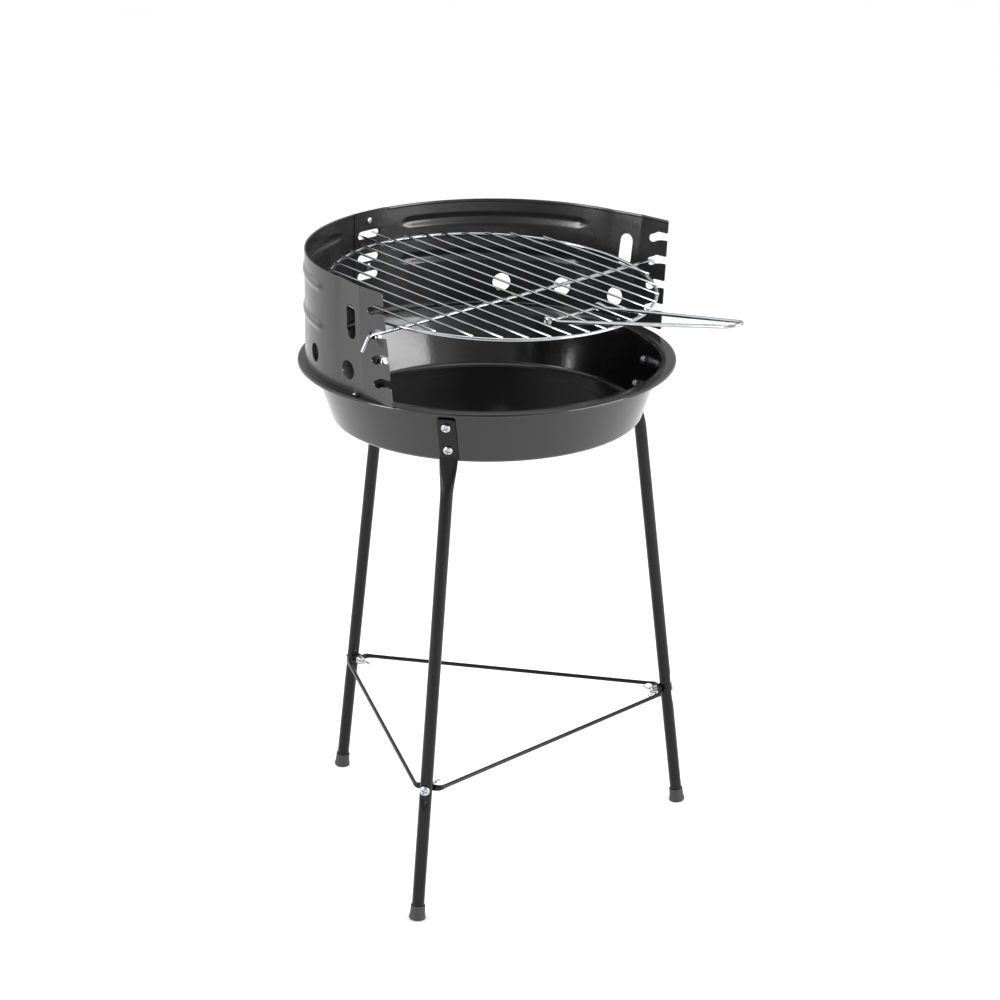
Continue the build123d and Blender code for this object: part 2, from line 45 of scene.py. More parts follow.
# ------------------------------------------------------------------ sizes (mm, bowl axis at 0, 0)
RIM_R, RIM_Z, FLANGE_IN_R, LIP, BOWL_T = 180.0, 499.1, 166.2, 2.6, 0.8
WALL = radians(18.1)
FLOOR_Z, CORNER_R, STEP_R, STEP_H = 441.8, 6.0, 118.0, 1.8
WS_X, WS_TOP, WS_BOT, WS_T, WS_ARC = 4.0, 605.0, 499.3, 0.8, 84.66
LAP, SEAM_DX, HEM = 20.9, -1.4, 3.0
WS_CX, WS_CY, WS_R = (3.9, 8.7), (3.35, -2.55), (171.7, 178.0)
WS_KINK, WS_END = ((174.2, -18.3), (183.9, -18.6)), ((175.0, -58.7), (185.3, -51.7))
NOTCH_Z, NOTCH_Y, NOTCH_R = (585.0, 562.5, 539.0, 516.5), (-38.2, -32.5), 3.7
SLOT_Z, SLOT_L, SLOT_H = (581.5, 558.0, 540.0), 29.0, 8.0
VENT_R, VENT_Z, VENTS = 9.0, 520.0, (3.0, 23.5, 44.5)
LONG_SLOT = (15.0, 33.0, -3.3, 567.6)
SEAM_Z = (595.0, 549.0)
RIB_DROP, RIB_H, RIB_D = (18.5, 56.0), 6.6, 1.5
TUBE_R, FOOT_R, TOP_R, TOP_Z, FOOT_Z = 6.0, 205.4, 152.7, 440.0, 0.6
LEGS = (("front_left", -146.8, -152.1), ("rear", 90.0, 94.3), ("front_right", -27.9, -27.8))
TAB_W, TAB_T, TAB_LO, TAB_HI = 17.5, 2.2, 449.0, 488.0
LEG_SCREW_Z = (456.0, 480.0)
BRACE_Z, ROD_R, EYE_R, EYE_T, TONGUE, GAP = 129.5, 2.0, 5.6, 1.6, 12.0, 0.05
TILT = 0.062
GC = (WS_X, -2.8, 568.0)
RING_R, RING_W, BAR_W, BAR_N, BAR_P = 155.0, 1.7, 1.1, 16, 18.5
CROSS_W, CROSS_HALF, CROSS_Y = 1.8, 186.0, -35.0
PIV_W, PIV_HALF, PIV_Y = 1.3, 37.5, -110.5
H_W, H_EYE, H_END, H_LEN, H_RISE, RUN = 1.8, 33.0, 10.7, 203.5, radians(9.72), 0.08

X, Y, Z = Vector((1, 0, 0)), Vector((0, 1, 0)), Vector((0, 0, 1))
ca, sa, ta = cos(WALL), sin(WALL), tan(WALL)


def V(*a):
    return Vector(a)


# ------------------------------------------------------------------ mesh helpers
def make(name, verts, faces, body, node=None, mat=None, smooth=True, sharp=35.0, normals=None):
    me = bpy.data.meshes.new(name)
    me.from_pydata([((v[0] + SX) * MM, (v[1] + SY) * MM, v[2] * MM) for v in verts], [], faces)
    me.validate()
    me.update()
    ob = bpy.data.objects.new(name, me)
    bpy.context.scene.collection.objects.link(ob)
    bm = bmesh.new()
    bm.from_mesh(me)
    bmesh.ops.recalc_face_normals(bm, faces=bm.faces)
    bm.to_mesh(me)
    bm.free()
    if smooth:
        for p in me.polygons:
            p.use_smooth = True
        me.set_sharp_from_angle(angle=radians(sharp))
    if mat is not None:
        me.materials.append(mat)
    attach(ob, body)
    if node:
        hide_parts(*([node] if isinstance(node, str) else node))
    return ob


def merge(parts):
    """Join (verts, faces) lists."""
    vs, fs = [], []
    for v, f in parts:
        n = len(vs)
        vs += v
        fs += [tuple(i + n for i in q) for q in f]
    return vs, fs


def frames_along(pts, closed=False, up=None):
    n = len(pts)
    tans = []
    for i in range(n):
        a = pts[(i - 1) % n] if (closed or i > 0) else pts[0]
        b = pts[(i + 1) % n] if (closed or i < n - 1) else pts[-1]
        tans.append((b - a).normalized())
    u = (up or V(0.0131, 0.0071, 1.0)).copy()
    u = (u - tans[0] * u.dot(tans[0]))
    if u.length < 1e-4:
        u = V(1, 0, 0) - tans[0] * tans[0].x
    u.normalize()
    out = []
    for i in range(n):
        if i:
            u = u - tans[i] * u.dot(tans[i])
            u.normalize()
        out.append((tans[i], u.copy(), tans[i].cross(u).normalized()))
    return out


def sweep(pts, rad, seg=16, closed=False, up=None, round_ends=True, sec=None):
    """Tube through pts. rad is a number or a list; sec(i, k) may return (a, b) offsets along the two frame axes."""
    pts = [Vector(p) for p in pts]
    if round_ends and not closed and sec is None:
        r0 = rad if isinstance(rad, (int, float)) else rad[0]
        r1 = rad if isinstance(rad, (int, float)) else rad[-1]
        d0 = (pts[1] - pts[0]).normalized()
        d1 = (pts[-1] - pts[-2]).normalized()
        rr = [rad] * len(pts) if isinstance(rad, (int, float)) else list(rad)
        e = 0.35
        pts = [pts[0], pts[0] + d0 * r0 * e * 0.35, pts[0] + d0 * r0 * e] + pts[1:-1] + [pts[-1] - d1 * r1 * e, pts[-1] - d1 * r1 * e * 0.35, pts[-1]]
        rad = [r0 * 0.72, r0 * 0.92, r0] + rr[1:-1] + [r1, r1 * 0.92, r1 * 0.72]
    fr = frames_along(pts, closed, up)
    vs, fs = [], []
    n = len(pts)
    for i, p in enumerate(pts):
        t, u, w = fr[i]
        r = rad if isinstance(rad, (int, float)) else rad[i]
        for k in range(seg):
            if sec:
                a, b = sec(i, k / seg)
            else:
                a, b = r * cos(2 * pi * k / seg), r * sin(2 * pi * k / seg)
            vs.append(p + u * a + w * b)
    m = n if closed else n - 1
    for i in range(m):
        for k in range(seg):
            a, b = i * seg + k, i * seg + (k + 1) % seg
            c, d = ((i + 1) % n) * seg + (k + 1) % seg, ((i + 1) % n) * seg + k
            fs.append((a, b, c, d))
    if not closed:
        fs.append(tuple(range(seg - 1, -1, -1)))
        fs.append(tuple((n - 1) * seg + k for k in range(seg)))
    return vs, fs


def lathe(prof, seg, org=V(0, 0, 0), ax=Z, xd=X, close=False):
    """Revolve (r, h) points about ax through org."""
    yd = ax.cross(xd).normalized()
    vs, fs = [], []
    idx = []
    for r, h in prof:
        if r < 1e-6:
            idx.append([len(vs)] * seg)
            vs.append(org + ax * h)
        else:
            row = []
            for k in range(seg):
                a = 2 * pi * k / seg
                row.append(len(vs))
                vs.append(org + ax * h + (xd * cos(a) + yd * sin(a)) * r)
            idx.append(row)
    m = len(prof)
    for i in range(m if close else m - 1):
        j = (i + 1) % m
        for k in range(seg):
            q = (idx[i][k], idx[i][(k + 1) % seg], idx[j][(k + 1) % seg], idx[j][k])
            q2 = []
            for v in q:
                if v not in q2:
                    q2.append(v)
            if len(q2) > 2:
                fs.append(tuple(q2))
    return vs, fs


def arc(c, r, a0, a1, n):
    return [(c[0] + r * cos(radians(a0 + (a1 - a0) * i / n)), c[1] + r * sin(radians(a0 + (a1 - a0) * i / n))) for i in range(n + 1)]


def bend_path(pts, r, n=6):
    """Polyline with each inner corner rounded to radius r."""
    pts = [Vector(p) for p in pts]
    out = [pts[0]]
    for i in range(1, len(pts) - 1):
        a = (pts[i - 1] - pts[i]).normalized()
        b = (pts[i + 1] - pts[i]).normalized()
        ang = a.angle(b)
        d = r / tan(ang / 2)
        p0, p1 = pts[i] + a * d, pts[i] + b * d
        c = pts[i] + (a + b).normalized() * (r / sin(ang / 2))
        q0, q1 = p0 - c, p1 - c
        th = q0.angle(q1)
        for k in range(n + 1):
            s = k / n
            out.append(c + (q0 * sin((1 - s) * th) + q1 * sin(s * th)) / sin(th))
    out.append(pts[-1])
    return out


# ------------------------------------------------------------------ materials
def principled(name):
    m = bpy.data.materials.new(name)
    m.use_nodes = True
    nt = m.node_tree
    b = nt.nodes["Principled BSDF"]
    return m, nt, b


def noise_node(nt, scale, detail=3.0, rough=0.5, stretch=None, src=None):
    n = nt.nodes.new("ShaderNodeTexNoise")
    n.inputs["Scale"].default_value = scale
    n.inputs["Detail"].default_value = detail
    n.inputs["Roughness"].default_value = rough
    tc = nt.nodes.new("ShaderNodeTexCoord")
    if stretch:
        mp = nt.nodes.new("ShaderNodeMapping")
        mp.inputs["Scale"].default_value = stretch
        nt.links.new(tc.outputs["Object"], mp.inputs["Vector"])
        nt.links.new(mp.outputs["Vector"], n.inputs["Vector"])
    else:
        nt.links.new(tc.outputs["Object"], n.inputs["Vector"])
    return n


def ramp(nt, fac, stops):
    r = nt.nodes.new("ShaderNodeValToRGB")
    el = r.color_ramp.elements
    while len(el) < len(stops):
        el.new(0.5)
    for e, (p, c) in zip(el, stops):
        e.position = p
        e.color = (c[0], c[1], c[2], 1) if isinstance(c, tuple) else (c, c, c, 1)
    nt.links.new(fac, r.inputs["Fac"])
    return r


def bump(nt, b, height, strength, dist, chain=None):
    n = nt.nodes.new("ShaderNodeBump")
    n.inputs["Strength"].default_value = strength
    n.inputs["Distance"].default_value = dist
    nt.links.new(height, n.inputs["Height"])
    if chain:
        nt.links.new(chain.outputs["Normal"], n.inputs["Normal"])
    nt.links.new(n.outputs["Normal"], b.inputs["Normal"])
    return n


def black_paint(name, base, r0, r1, peel_scale, peel, spec=0.5, coat=0.0):
    m, nt, b = principled(name)
    n1 = noise_node(nt, 9.0, 4.0, 0.6)
    c = ramp(nt, n1.outputs["Fac"], [(0.3, tuple(base)), (0.7, tuple(x * 1.5 for x in base))])
    nt.links.new(c.outputs["Color"], b.inputs["Base Color"])
    n2 = noise_node(nt, 26.0, 5.0, 0.62)
    r = ramp(nt, n2.outputs["Fac"], [(0.30, r0), (0.72, r1)])
    nt.links.new(r.outputs["Color"], b.inputs["Roughness"])
    n3 = noise_node(nt, peel_scale, 2.0, 0.5)
    b1 = bump(nt, b, n3.outputs["Fac"], peel, 0.0004)
    n4 = noise_node(nt, 2600.0, 2.0, 0.5)
    bump(nt, b, n4.outputs["Fac"], peel * 0.25, 0.00006, chain=b1)
    b.inputs["Specular IOR Level"].default_value = spec
    if coat:
        b.inputs["Coat Weight"].default_value = coat
        b.inputs["Coat Roughness"].default_value = 0.05
    return m


def metal(name, col, r0, r1, brushed=False):
    m, nt, b = principled(name)
    n1 = noise_node(nt, 60.0, 4.0, 0.6)
    c = ramp(nt, n1.outputs["Fac"], [(0.25, tuple(x * 0.86 for x in col)), (0.75, tuple(col))])
    nt.links.new(c.outputs["Color"], b.inputs["Base Color"])
    n2 = noise_node(nt, 240.0, 3.0, 0.6)
    r = ramp(nt, n2.outputs["Fac"], [(0.3, r0), (0.75, r1)])
    nt.links.new(r.outputs["Color"], b.inputs["Roughness"])
    n3 = noise_node(nt, 700.0, 2.0, 0.5)
    bump(nt, b, n3.outputs["Fac"], 0.06, 0.0002)
    b.inputs["Metallic"].default_value = 1.0
    return m


M_BOWL = black_paint("bowl_enamel", (0.002, 0.002, 0.0023), 0.10, 0.19, 330.0, 0.14, spec=0.5)
M_SHIELD = black_paint("shield_paint", (0.009, 0.009, 0.0095), 0.17, 0.30, 420.0, 0.20, spec=0.5)
M_LEG = black_paint("leg_paint", (0.003, 0.003, 0.0034), 0.13, 0.22, 420.0, 0.18, spec=0.2)
M_ROD = black_paint("rod_paint", (0.003, 0.003, 0.0034), 0.13, 0.22, 500.0, 0.18, spec=0.2)
M_CHROME = metal("chrome_wire", (0.38, 0.39, 0.405), 0.06, 0.13)
M_ZINC = metal("zinc", (0.46, 0.47, 0.49), 0.16, 0.28)
mr, ntr, br = principled("cap_rubber")
_n = noise_node(ntr, 300.0, 4.0, 0.6)
_c = ramp(ntr, _n.outputs["Fac"], [(0.3, (0.010, 0.010, 0.010)), (0.75, (0.020, 0.020, 0.020))])
ntr.links.new(_c.outputs["Color"], br.inputs["Base Color"])
_n2 = noise_node(ntr, 900.0, 3.0, 0.6)
bump(ntr, br, _n2.outputs["Fac"], 0.35, 0.0003)
_r = ramp(ntr, _n.outputs["Fac"], [(0.3, 0.55), (0.75, 0.72)])
ntr.links.new(_r.outputs["Color"], br.inputs["Roughness"])
M_RUBBER = mr
SLOT_MAT = {"bowl_enamel": M_BOWL, "shield_paint": M_SHIELD, "leg_paint": M_LEG, "rod_paint": M_ROD,
            "chrome_wire": M_CHROME, "zinc": M_ZINC, "cap_rubber": M_RUBBER}
node_slot = {s["node"]: s["material_slot"] for s in frame["record"]["subparts"]}
for nm, ob in nodes.items():
    mat = SLOT_MAT[node_slot[nm]]
    if not ob.material_slots:
        ob.data.materials.append(mat)
    for sl in ob.material_slots:
        sl.material = mat

# ------------------------------------------------------------------ bowl
wall_r = lambda z: FLANGE_IN_R - (RIM_Z - BOWL_T - z) * ta


def bowl_profile():
    cz = FLOOR_Z + CORNER_R
    cx = wall_r(cz) - CORNER_R / ca
    out = [(0, FLOOR_Z + STEP_H)]
    # underside, step with soft shoulders
    for i in range(13):
        u = i / 12
        s = u * u * (3 - 2 * u)
        out.append((STEP_R - 5 + 6 * u, FLOOR_Z + STEP_H * (1 - s)))
    out += arc((cx, cz), CORNER_R, -90, -18.1, 14)
    n = 8
    zt = RIM_Z - BOWL_T
    z0 = out[-1][1]
    fr = 2.2                                   # inner radius of the bend from wall to flange
    zc = zt - fr - 0.0
    # wall up to the bend
    bx = wall_r(zt) + fr * tan(radians(35))
    out += [(wall_r(z0 + (zt - 2.0 - z0) * i / n), z0 + (zt - 2.0 - z0) * i / n) for i in range(1, n + 1)]
    out += [(wall_r(zt) + 0.25, zt - 0.45), (wall_r(zt) + 1.3, zt - 0.05)]
    out += [(RIM_R - 2.6, zt), (RIM_R - 1.3, zt - 0.35), (RIM_R - BOWL_T - 0.05, zt - 1.1), (RIM_R - BOWL_T, zt - LIP + BOWL_T)]
    out += [(RIM_R - 0.4, RIM_Z - LIP - 0.15), (RIM_R - 0.02, RIM_Z - LIP + 0.25), (RIM_R, RIM_Z - 1.5), (RIM_R - 0.28, RIM_Z - 0.75), (RIM_R - 0.95, RIM_Z - 0.2), (RIM_R - 1.9, RIM_Z)]
    out += [(wall_r(RIM_Z) + 1.2, RIM_Z), (wall_r(RIM_Z) + 0.1, RIM_Z - 0.25), (wall_r(RIM_Z) - BOWL_T / ca - 0.15, RIM_Z - 1.3)]
    out += [(wall_r(RIM_Z - 3) - BOWL_T / ca, RIM_Z - 3)]
    z1 = cz - (CORNER_R - BOWL_T) * sa
    out += [(wall_r(RIM_Z - 3 + (z1 - RIM_Z + 3) * i / n) - BOWL_T / ca, RIM_Z - 3 + (z1 - RIM_Z + 3) * i / n) for i in range(1, n)]
    out += arc((cx, cz), CORNER_R - BOWL_T, -18.1, -90, 14)
    for i in range(13):
        u = 1 - i / 12
        s = u * u * (3 - 2 * u)
        out.append((STEP_R - 5 + 6 * u + 0.3, FLOOR_Z + BOWL_T + STEP_H * (1 - s)))
    out.append((0, FLOOR_Z + STEP_H + BOWL_T))
    return out


v, f = lathe(bowl_profile(), 256)
make("bowl_shell", v, f, "stand", "bowl", M_BOWL, sharp=60)

# ------------------------------------------------------------------ windshield halves
lerp = lambda a, b, t: a + (b - a) * t
S_A = radians(WS_ARC) * 175.0
L_B, L_C = 35.5, 36.8
S_END = S_A + L_B + L_C


def ws_geo(z):
    """Centre, radius, end of the arc, crease and free edge of the sheet at height z, from its own centre line."""
    u = (z - WS_BOT) / (WS_TOP - WS_BOT)
    cx, cy, R = lerp(*WS_CX, u), lerp(*WS_CY, u), lerp(*WS_R, u)
    P1 = (R * sin(radians(WS_ARC)), cy + R * cos(radians(WS_ARC)))
    K = (lerp(WS_KINK[0][0], WS_KINK[1][0], u), lerp(WS_KINK[0][1], WS_KINK[1][1], u))
    E = (lerp(WS_END[0][0], WS_END[1][0], u), lerp(WS_END[0][1], WS_END[1][1], u))
    return cx, cy, R, P1, K, E


def unit_normal(a, b):
    dx, dy = b[0] - a[0], b[1] - a[1]
    q = hypot(dx, dy)
    return (-dy / q, dx / q)


def ws_map(s, z, off):
    """Point and outward normal of the sheet's inner face moved out by off; s runs from the rear seam."""
    cx, cy, R, P1, K, E = ws_geo(z)
    if s <= S_A:
        f = s / 175.0
        n = (sin(f), cos(f))
        p = ((R + off) * n[0], cy + (R + off) * n[1])
    else:
        if s <= S_A + L_B:
            t = (s - S_A) / L_B
            a, b = P1, K
        else:
            t = (s - S_A - L_B) / L_C
            a, b = K, E
        p = (lerp(a[0], b[0], t), lerp(a[1], b[1], t))
        n1, n2 = unit_normal(P1, K), unit_normal(K, E)
        # soften the crease
        w = 2.5
        dk = s - S_A - L_B
        q = max(0.0, min(1.0, (dk + w) / (2 * w)))
        n = (lerp(n1[0], n2[0], q), lerp(n1[1], n2[1], q))
        L = hypot(*n)
        n = (n[0] / L, n[1] / L)
        p = (p[0] + n[0] * off, p[1] + n[1] * off)
    return p, n


def ws_inv(y, z):
    """s of the place at height z where the sheet's side has this y."""
    cx, cy, R, P1, K, E = ws_geo(z)
    if y >= P1[1]:
        c = max(-1, min(1, (y - cy) / R))
        return 175.0 * atan2(sqrt(1 - c * c), c)
    if y >= K[1]:
        return S_A + L_B * (P1[1] - y) / (P1[1] - K[1])
    return S_A + L_B + L_C * (K[1] - y) / (K[1] - E[1])


RIB_S = (radians(12) * 175.0, radians(75.5) * 175.0)


def rib(s, z):
    d = 0.0
    for drop in RIB_DROP:
        zc = WS_TOP - drop
        e = max(0.0, min(1.0, (s - RIB_S[0]) / 12.0, (RIB_S[1] - s) / 12.0))
        e = e * e * (3 - 2 * e)
        q = abs(z - zc) / (RIB_H * (0.55 + 0.45 * e))
        if q < 1:
            d += RIB_D * e * (0.5 + 0.5 * cos(pi * q))
    return d


def obround(cx, cz, L, W, vertical, n=10):
    r = W / 2
    h = L / 2 - r
    pts = []
    for i in range(n + 1):
        a = pi * i / n - pi / 2
        pts.append((h + r * cos(a), r * sin(a)))
    for i in range(n + 1):
        a = pi * i / n + pi / 2
        pts.append((-h + r * cos(a), r * sin(a)))
    if vertical:
        pts = [(-b, a) for a, b in pts]
    return [(cx + a, cz + b) for a, b in pts]


def round_poly(pts, radii, n=5):
    out = []
    m = len(pts)
    for i in range(m):
        p = Vector(pts[i])
        r = radii[i]
        if r <= 0:
            out.append(tuple(p))
            continue
        a = (Vector(pts[i - 1]) - p)
        b = (Vector(pts[(i + 1) % m]) - p)
        ang = a.angle(b)
        d = min(r / tan(ang / 2), a.length * 0.48, b.length * 0.48)
        r = d * tan(ang / 2)
        a.normalize(); b.normalize()
        p0, p1 = p + a * d, p + b * d
        c = p + (a + b).normalized() * (r / sin(ang / 2))
        q0, q1 = p0 - c, p1 - c
        th = q0.angle(q1)
        if th < 1e-3:
            out.append(tuple(p)); continue
        for k in range(n + 1):
            t = k / n
            w = c + (q0 * sin((1 - t) * th) + q1 * sin(t * th)) / sin(th)
            out.append((w.x, w.y))
    return out


def notch_pts(zc):
    """Notch outline in (y, z) from the edge in and back out."""
    y0, r = lerp(*NOTCH_Y, (zc - WS_BOT) / (WS_TOP - WS_BOT)), NOTCH_R
    pts = [(-72.0, zc + 7.4), (y0 - 8.5, zc + 7.4), (y0 - 6.2, zc + 7.0), (y0 - 3.2, zc + 5.2)]
    for i in range(15):
        a = radians(22 + 158 * i / 14)
        pts.append((y0 + r * sin(a), zc + r * cos(a)))
    pts += [(y0 - 3.0, zc - r + 0.3), (y0 - 6.4, zc - 1.5), (y0 - 11.0, zc - 0.3), (y0 - 16.4, zc + 0.3), (-72.0, zc + 0.3)]
    return pts


def flat_pattern(side):
    """Outer loop with the notches, and the holes, in (s, z)."""
    outer = [(-LAP, WS_BOT), (S_END, WS_BOT)]
    rad = [1.5, 1.5]
    for zc in sorted(NOTCH_Z):
        q = [(min(ws_inv(y, z), S_END), z) for y, z in notch_pts(zc)]
        q.reverse()
        q[0] = (S_END, q[0][1])
        q[-1] = (S_END, q[-1][1])
        outer += q
        rad += [1.2] + [0.0] * (len(q) - 2) + [1.2]
    outer += [(S_END, WS_TOP), (-LAP, WS_TOP)]
    rad += [2.0, 1.5]
    outer = round_poly(outer, rad)
    holes = []
    w, h, y, z = LONG_SLOT
    holes.append(obround(ws_inv(y, z), z, h, w, True))
    for a in VENTS:
        py = -5 + 176.0 * sin(radians(a))
        c = (ws_inv(py, VENT_Z), VENT_Z)
        holes.append([(c[0] + VENT_R * cos(2 * pi * i / 36), c[1] + VENT_R * sin(2 * pi * i / 36)) for i in range(36)])
    for z in SLOT_Z:
        holes.append(obround((1.5 - SEAM_DX) if side < 0 else SEAM_DX, z, SLOT_L, SLOT_H, False))
    for z in SEAM_Z:
        holes.append([(side * SEAM_DX + 2.1 * cos(2 * pi * i / 16), z + 2.1 * sin(2 * pi * i / 16)) for i in range(16)])
    return outer, holes


def sheet_mesh(outer, holes, pos, cuts_s, cuts_z):
    """Cut a flat pattern into small faces, then bend it: pos(s, z, k) gives the inner (k=0) and outer (k=1) faces."""
    loops = [[Vector((a, b, 0)) for a, b in outer]] + [[Vector((a, b, 0)) for a, b in h] for h in holes]
    tris = tessellate_polygon(loops)
    bm = bmesh.new()
    vs = [bm.verts.new(p) for lp in loops for p in lp]
    for t in tris:
        try:
            bm.faces.new([vs[i] for i in t])
        except ValueError:
            pass
    bmesh.ops.dissolve_degenerate(bm, dist=1e-5, edges=bm.edges)
    for axis, vals in ((0, cuts_s), (1, cuts_z)):
        for c in vals:
            co = (c, 0, 0) if axis == 0 else (0, c, 0)
            no = (1, 0, 0) if axis == 0 else (0, 1, 0)
            bmesh.ops.bisect_plane(bm, geom=bm.verts[:] + bm.edges[:] + bm.faces[:], dist=1e-4, plane_co=co, plane_no=no)
    # merge the vertices that lie on top of each other after the cuts
    bmesh.ops.remove_doubles(bm, verts=bm.verts, dist=1e-4)
    bm.verts.ensure_lookup_table()
    bm.verts.index_update()
    n = len(bm.verts)
    A = [pos(q.co.x, q.co.y, 0) for q in bm.verts] + [pos(q.co.x, q.co.y, 1) for q in bm.verts]
    F = []
    for fa in bm.faces:
        ids = [q.index for q in fa.verts]
        F.append(tuple(ids))
        F.append(tuple(i + n for i in reversed(ids)))
    for e in bm.edges:
        if len(e.link_faces) == 1:
            a, b = e.verts[0].index, e.verts[1].index
            F.append((a, b, b + n, a + n))
    bm.free()
    return A, F


def frange(a, b, d):
    n = max(1, round((b - a) / d))
    return [a + (b - a) * i / n for i in range(1, n)]


cuts_s = frange(-LAP, S_A, 4.0) + frange(S_A, S_A + L_B, 5.0) + [S_A, S_A + L_B - 2.5, S_A + L_B - 1.2, S_A + L_B, S_A + L_B + 1.2, S_A + L_B + 2.5] + frange(S_A + L_B, S_END, 6.0)
for _k in (10, 74):
    cuts_s += [radians(_k) * 175.0 + (q if _k == 10 else -q) for q in (0.0, 1.5, 3.0, 6.0, 9.0, 10.5, 12.0)]
cuts_z = []
for drop in RIB_DROP:
    cuts_z += [WS_TOP - drop + q * 0.75 for q in range(-8, 9)]
cuts_z += [506.0, 512, 520, 529, 538, 565, 573, 580, 594, 600]

for half, side, off0 in (("right", 1, 0.0), ("left", -1, WS_T + GAP)):
    outer, holes = flat_pattern(side)

    def pos(s, z, k):
        d = rib(s, z)
        (x, y), n = ws_map(s, z, off0 + d + k * WS_T)
        return V(ws_geo(z)[0] + side * x, y, z)
    A, F = sheet_mesh(outer, holes, pos, cuts_s, cuts_z)
    # folded hem along the top, on the inside, with a rounded fold
    hem_out = [(LAP + 1.5, WS_TOP - HEM), (S_END - 2.2, WS_TOP - HEM), (S_END - 0.5, WS_TOP - 1.6), (S_END - 0.4, WS_TOP - 0.02), (LAP + 1.5, WS_TOP - 0.02)]

    def pos_h(s, z, k):
        e = max(0.0, 1 - ((z - (WS_TOP - HEM / 2)) / (HEM / 2)) ** 2)
        (x, y), n = ws_map(s, z, off0 + (0.05 if k else -0.42 - 0.42 * sqrt(e)))
        return V(ws_geo(z)[0] + side * x, y, z)
    hv, hf = sheet_mesh(hem_out, [], pos_h, cuts_s, [WS_TOP - q for q in (2.8, 2.4, 1.8, 1.2, 0.6, 0.2)])
    # foot tabs on the rim
    parts = [(A, F), (hv, hf)]
    inward = side > 0
    for deg in (27.0, 98.0):
        cx, cy, R, P1, K, E = ws_geo(WS_BOT)
        if deg < WS_ARC:
            n = V(side * sin(radians(deg)), cos(radians(deg)), 0)
            q = V(cx, cy, WS_BOT) + n * (R + off0)
        else:
            n = V(side, 0, 0)
            q = V(cx + side * (173.3 + off0), -8.0, WS_BOT)
        t = V(-n.y, n.x, 0)
        reach = 8.0 if inward else (5.2 if deg < WS_ARC else 4.6)
        d = n * (-1 if inward else 1)
        base = q + (n * 0.1 if inward else n * (WS_T - 0.1))
        pr = []
        for i in range(7):
            a = radians(90 * i / 6)
            pr.append((0.9 - 0.9 * cos(a) if False else 0.9 * sin(a) * 1.0, 0.9 * (1 - sin(a)) * 0 + 0.9 - 0.9 * sin(a)))
        tv, tf = [], []
        rows = []
        path = [(0.0, 5.0), (0.0, 1.6), (0.25, 0.95), (0.75, 0.6), (1.4, 0.5), (reach - 1.2, 0.5), (reach, 0.5)]
        for (a, h) in path:
            w = 4.0 if a < reach - 0.1 else 3.1
            for sgn in (-1, 1):
                for th in (-0.35, 0.35):
                    # thickness direction follows the bend
                    up = V(0, 0, 1) if a > 0.7 else (d * -1 if a < 0.1 else (V(0, 0, 1) - d).normalized())
                    tv.append(base + d * a + V(0, 0, h) + t * (w * sgn) + up * th)
        for i in range(len(path) - 1):
            b0, b1 = i * 4, (i + 1) * 4
            for a, b in ((0, 1), (1, 3), (3, 2), (2, 0)):
                tf.append((b0 + a, b0 + b, b1 + b, b1 + a))
        tf.append((0, 1, 3, 2))
        e = (len(path) - 1) * 4
        tf.append((e + 0, e + 2, e + 3, e + 1))
        parts.append((tv, tf))
    v, f = merge(parts)
    make("windshield_sheet_" + half, v, f, "stand", "windshield_" + half, M_SHIELD, sharp=40)

# ------------------------------------------------------------------ legs


def leg_frame(azt, azf):
    pt = V(TOP_R * cos(radians(azt)), TOP_R * sin(radians(azt)), TOP_Z)
    pf = V(FOOT_R * cos(radians(azf)), FOOT_R * sin(radians(azf)), FOOT_Z)
    a = (pt - pf).normalized()
    rad = V(cos(radians(azt)), sin(radians(azt)), 0)
    o = (rad - a * rad.dot(a)).normalized()
    return pt, pf, a, o


def on_axis(pf, a, z):
    return pf + a * ((z - pf.z) / a.z)


def supers(w, h, n, k):
    a = 2 * pi * k
    c, s = cos(a), sin(a)
    return (w * abs(c) ** (2 / n) * (1 if c >= 0 else -1), h * abs(s) ** (2 / n) * (1 if s >= 0 else -1))


